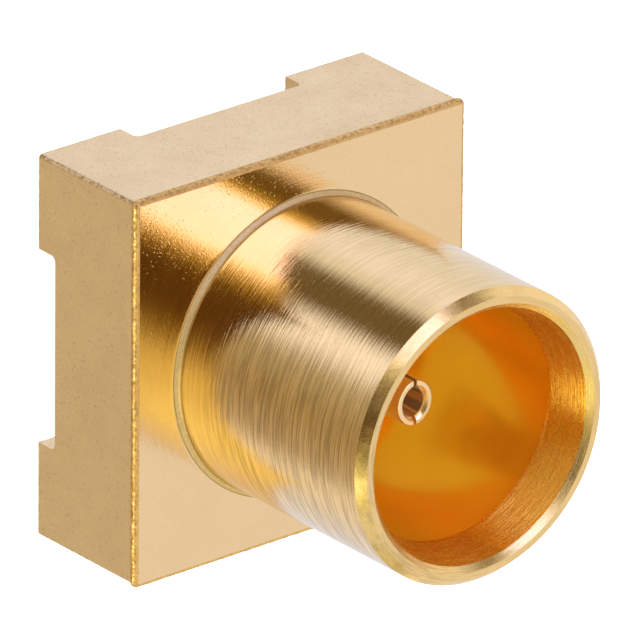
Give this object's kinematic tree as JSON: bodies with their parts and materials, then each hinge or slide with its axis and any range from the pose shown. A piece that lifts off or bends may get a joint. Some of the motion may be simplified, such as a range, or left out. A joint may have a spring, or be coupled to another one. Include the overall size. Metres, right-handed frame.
{
  "type": "micro coaxial connector",
  "caption": "Gold-plated surface-mount coaxial jack: a square footed base, a plain turned barrel open at its end, a white insulator and a slotted centre socket.",
  "frame": {"origin": "in the plane of the four solder feet, on the barrel's axis", "axes": "+Z along the barrel towards the mating side, +X and +Y square to the sides of the base"},
  "size_m": [0.0064, 0.0064, 0.0068],
  "materials": {
    "body_gold_plate": "gold plate over machined brass, turned barrel and front face, milled matte sides",
    "insulator_fluoropolymer": "waxy white fluoropolymer with faint turning marks",
    "contact_gold_plate": "bright gold plate over a turned and slotted socket"
  },
  "bodies": {
    "root": {"connector_body": "body_gold_plate", "insulator": "insulator_fluoropolymer", "centre_contact": "contact_gold_plate"}
  },
  "joints": []
}
